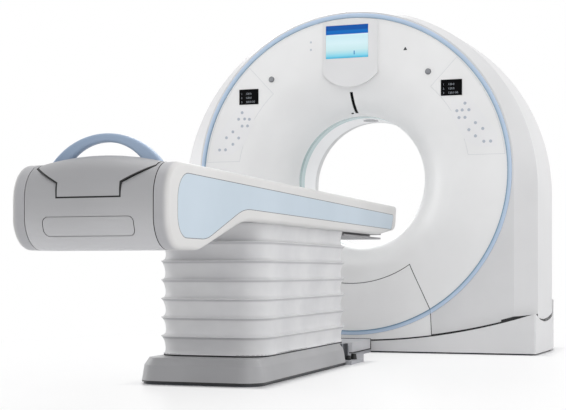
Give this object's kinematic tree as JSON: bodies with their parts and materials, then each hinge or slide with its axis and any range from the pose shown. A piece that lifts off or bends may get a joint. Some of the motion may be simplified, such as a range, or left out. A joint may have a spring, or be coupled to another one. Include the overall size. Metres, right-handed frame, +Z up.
{
  "type": "ct scanner",
  "caption": "Ring-shaped X-ray scanner gantry that tilts on a floor plinth, with a spinning rotor inside, and a lifting patient couch whose tabletop slides into the bore.",
  "frame": {"origin": "on the floor, under the bore's axis, in the plane of the gantry's front face", "axes": "+Y into the bore away from the couch, +Z up, +X to the right as seen from the couch's foot"},
  "size_m": [2.2, 4.122, 2.003],
  "materials": {
    "white_shell": "satin moulded cover",
    "grey_trim": "fine matt moulding",
    "grey_cover": "fine matt moulding",
    "blue_trim": "satin moulded strip",
    "blue_inset": "satin moulded panel",
    "blue_handle": "satin moulded grip",
    "grey_key": "satin key",
    "dark_lens": "dark gloss lens",
    "screen_glass": "lit display under a clear sheet",
    "clear_window": "translucent film ring",
    "carbon_top": "coated carbon fibre sandwich",
    "dark_steel": "dark painted steel",
    "cast_frame": "cast and machined",
    "bearing_steel": "ground steel",
    "copper_ring": "turned tracks",
    "dark_box": "painted housing",
    "black_rubber": "moulded rubber",
    "bellows_cloth": "coated woven cloth"
  },
  "bodies": {
    "stationary_base": {"gantry_base_plate": "dark_steel", "plinth_cover": "white_shell", "left_pillar": "dark_steel", "right_pillar": "dark_steel", "trunnion_bearings": "bearing_steel", "couch_base_plate": "dark_steel", "couch_base_cover": "grey_cover", "column_outer": "cast_frame", "bellows": "bellows_cloth", "link_floor_plate": "dark_steel", "cable_box": "grey_cover", "link_bracket": "dark_steel"},
    "tilting_gantry": {"tilt_frame": "dark_steel", "front_cover": "white_shell", "laser_window": "dark_lens", "lower_front_cover": "white_shell", "front_surround": "white_shell", "left_control_panel": "white_shell", "right_control_panel": "white_shell", "upper_trim_ring": "blue_trim", "lower_trim_ring": "blue_trim", "left_side_cover": "white_shell", "right_side_cover": "white_shell", "rear_cover": "white_shell", "screen_bezel": "grey_trim", "status_screen": "screen_glass", "left_readout": "dark_lens", "right_readout": "dark_lens", "left_keypad": "grey_key", "right_keypad": "grey_key", "scan_window": "clear_window", "bore_liner": "white_shell", "bearing_outer_race": "bearing_steel", "drive_motor": "dark_box", "drive_belt": "black_rubber"},
    "spinning_rotor": {"rotor_drum": "cast_frame", "bearing_inner_race": "bearing_steel", "slip_ring": "copper_ring", "xray_tube": "cast_frame", "collimator": "dark_steel", "detector_arc": "dark_box", "high_voltage_generator": "dark_box", "tube_cooler": "cast_frame"},
    "lifting_couch": {"couch_frame": "grey_cover", "left_side_panel": "white_shell", "right_side_panel": "white_shell", "left_side_inset": "blue_inset", "right_side_inset": "blue_inset", "foot_end_housing": "grey_cover", "underside_plate": "grey_trim"},
    "sliding_tabletop": {"tabletop": "carbon_top", "foot_cap": "grey_cover", "push_handle": "blue_handle"},
    "motor_pulley": {"motor_pulley": "bearing_steel"},
    "left_button": {"left_button": "grey_key"},
    "right_button": {"right_button": "grey_key"},
    "column_stage_two": {"column_stage_two": "cast_frame"},
    "column_stage_three": {"column_stage_three": "cast_frame"},
    "front_roller": {"front_roller": "black_rubber"},
    "rear_roller": {"rear_roller": "black_rubber"}
  },
  "joints": [
    {"name": "gantry_tilt", "type": "hinge", "parent": "stationary_base", "child": "tilting_gantry", "pos_m": [0, 0.26, 1], "axis": [-1, 0, 0], "range_deg": [-20, 20]},
    {"name": "rotor_spin", "type": "hinge", "parent": "tilting_gantry", "child": "spinning_rotor", "pos_m": [0, 0.43, 1], "axis": [0, 1, 0], "continuous": true},
    {"name": "pulley_spin", "type": "hinge", "parent": "tilting_gantry", "child": "motor_pulley", "pos_m": [-0.66114, 0.4, 0.33886], "axis": [0, 1, 0], "continuous": true},
    {"name": "left_button_press", "type": "slide", "parent": "tilting_gantry", "child": "left_button", "axis": [0, 1, 0], "range_m": [0, 0.003], "stiffness_N_per_m": 600, "springref_m": -0.002},
    {"name": "right_button_press", "type": "slide", "parent": "tilting_gantry", "child": "right_button", "axis": [0, 1, 0], "range_m": [0, 0.003], "stiffness_N_per_m": 600, "springref_m": -0.002},
    {"name": "couch_lift", "type": "slide", "parent": "stationary_base", "child": "lifting_couch", "axis": [0, 0, 1], "range_m": [-0.36, 0.12], "deforming": ["bellows"]},
    {"name": "stage_two_slide", "type": "slide", "parent": "stationary_base", "child": "column_stage_two", "axis": [0, 0, 1], "range_m": [-0.12, 0.04]},
    {"name": "stage_three_slide", "type": "slide", "parent": "stationary_base", "child": "column_stage_three", "axis": [0, 0, 1], "range_m": [-0.24, 0.08]},
    {"name": "tabletop_slide", "type": "slide", "parent": "lifting_couch", "child": "sliding_tabletop", "axis": [0, 1, 0], "range_m": [0, 1.6]},
    {"name": "front_roller_spin", "type": "hinge", "parent": "lifting_couch", "child": "front_roller", "pos_m": [0, -0.33, 0.7227], "axis": [1, 0, 0], "continuous": true},
    {"name": "rear_roller_spin", "type": "hinge", "parent": "lifting_couch", "child": "rear_roller", "pos_m": [0, -1.18, 0.7227], "axis": [1, 0, 0], "continuous": true}
  ],
  "couplings": [
    {"joint": "pulley_spin", "follows": "rotor_spin", "ratio": 14.7},
    {"joint": "stage_two_slide", "follows": "couch_lift", "ratio": 0.33333},
    {"joint": "stage_three_slide", "follows": "couch_lift", "ratio": 0.66667},
    {"joint": "front_roller_spin", "follows": "tabletop_slide", "rad_per_m": -40},
    {"joint": "rear_roller_spin", "follows": "tabletop_slide", "rad_per_m": -40}
  ]
}
